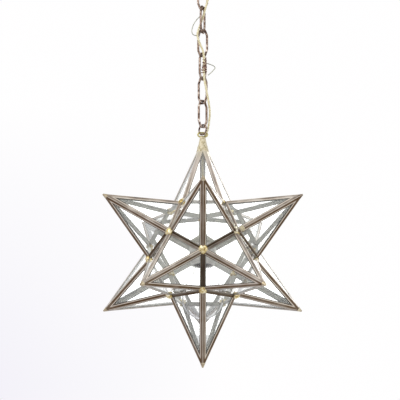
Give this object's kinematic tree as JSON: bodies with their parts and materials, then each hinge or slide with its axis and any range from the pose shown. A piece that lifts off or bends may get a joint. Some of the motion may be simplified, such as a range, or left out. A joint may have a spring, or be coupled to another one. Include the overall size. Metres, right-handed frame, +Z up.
{
  "type": "star lantern pendant",
  "caption": "Hanging lantern shaped as a twelve-pointed star of clear glass panes in brass cames, with a hinged relamping spike, lampholder, bulb, link chain and ceiling canopy.",
  "frame": {"origin": "middle of the crossbar face that meets the ceiling box", "axes": "+Z up, -Y towards the pictured side, +X to the right in the picture"},
  "size_m": [0.2964, 0.3116, 0.64],
  "materials": {
    "brass_came": "aged, brown patina",
    "solder": "dull golden solder over brass",
    "chain_brass": "antique brown",
    "bright_brass": "worn brass",
    "canopy_brass": "antique brown",
    "pane": "clear",
    "bulb_clear": "clear",
    "flex": "clear gold two-core flex",
    "steel": "plated",
    "holder_white": "smooth",
    "holder_cap": "dark, dull",
    "nickel": "bright"
  },
  "bodies": {
    "ceiling_fitting": {"ceiling_canopy": "canopy_brass", "mounting_crossbar": "steel", "canopy_nipple": "steel", "crossbar_nut": "steel", "canopy_loop": "canopy_brass", "supply_cord": "flex"},
    "link_1": {"chain_link_1": "chain_brass"},
    "link_2": {"chain_link_2": "chain_brass"},
    "link_3": {"chain_link_3": "chain_brass"},
    "link_4": {"chain_link_4": "chain_brass"},
    "link_5": {"chain_link_5": "chain_brass"},
    "link_6": {"chain_link_6": "chain_brass"},
    "ring": {"hanging_ring": "chain_brass"},
    "star": {"bulb_base": "nickel", "bulb_glass": "bulb_clear", "bulb_mount": "bulb_clear", "cames_spike_B": "brass_came", "cames_spike_L0": "brass_came", "cames_spike_L1": "brass_came", "cames_spike_L2": "brass_came", "cames_spike_L3": "brass_came", "cames_spike_L4": "brass_came", "cames_spike_T": "brass_came", "cames_spike_U0": "brass_came", "cames_spike_U2": "brass_came", "cames_spike_U3": "brass_came", "cames_spike_U4": "brass_came", "centre_contact": "nickel", "corner_solder": "solder", "door_catch": "bright_brass", "door_seat_cames": "brass_came", "glass_spike_B": "pane", "glass_spike_L0": "pane", "glass_spike_L1": "pane", "glass_spike_L2": "pane", "glass_spike_L3": "pane", "glass_spike_L4": "pane", "glass_spike_T": "pane", "glass_spike_U0": "pane", "glass_spike_U2": "pane", "glass_spike_U3": "pane", "glass_spike_U4": "pane", "hanging_eye": "bright_brass", "hinge_pin": "bright_brass", "inner_cord": "flex", "lampholder_body": "holder_white", "lampholder_cap": "holder_cap", "screw_shell": "nickel", "seat_knuckles": "bright_brass", "tip_solder": "solder", "top_cap": "bright_brass", "valley_cames_lower": "brass_came", "valley_cames_upper": "brass_came", "valley_cames_waist": "brass_came"},
    "door": {"door_cames": "brass_came", "door_glass": "pane", "door_rim": "brass_came", "door_knuckle": "bright_brass"}
  },
  "joints": [
    {"name": "link_1_swing", "type": "hinge", "parent": "ceiling_fitting", "child": "link_1", "pos_m": [0, 0, -0.0515], "axis": [0, 1, 0], "range_deg": [-25, 25], "deforming": ["supply_cord"]},
    {"name": "link_2_swing", "type": "hinge", "parent": "link_1", "child": "link_2", "pos_m": [0, 0, -0.08824], "axis": [1, 0, 0], "range_deg": [-25, 25], "deforming": ["supply_cord"]},
    {"name": "link_3_swing", "type": "hinge", "parent": "link_2", "child": "link_3", "pos_m": [0, 0, -0.12508], "axis": [0.4226, 0.9063, 0], "range_deg": [-25, 25], "deforming": ["supply_cord"]},
    {"name": "link_4_swing", "type": "hinge", "parent": "link_3", "child": "link_4", "pos_m": [0, 0, -0.16192], "axis": [0.9703, -0.2419, 0], "range_deg": [-25, 25], "deforming": ["supply_cord"]},
    {"name": "link_5_swing", "type": "hinge", "parent": "link_4", "child": "link_5", "pos_m": [0, 0, -0.19876], "axis": [0.6561, 0.7547, 0], "range_deg": [-25, 25], "deforming": ["supply_cord"]},
    {"name": "link_6_swing", "type": "hinge", "parent": "link_5", "child": "link_6", "pos_m": [0, 0, -0.2356], "axis": [0.8572, -0.515, 0], "range_deg": [-25, 25], "deforming": ["supply_cord"]},
    {"name": "ring_swing", "type": "hinge", "parent": "link_6", "child": "ring", "pos_m": [0, 0, -0.27244], "axis": [0.848, 0.5299, 0], "range_deg": [-25, 25], "deforming": ["supply_cord"]},
    {"name": "star_swing", "type": "hinge", "parent": "ring", "child": "star", "pos_m": [0, 0, -0.28414], "axis": [0.7071, -0.7071, 0], "range_deg": [-15, 15], "deforming": ["supply_cord"]},
    {"name": "door_hinge", "type": "hinge", "parent": "star", "child": "door", "pos_m": [0.06747, 0.02192, -0.4223], "axis": [-0.5, -0.1625, 0.8507], "range_deg": [0, 100]}
  ]
}
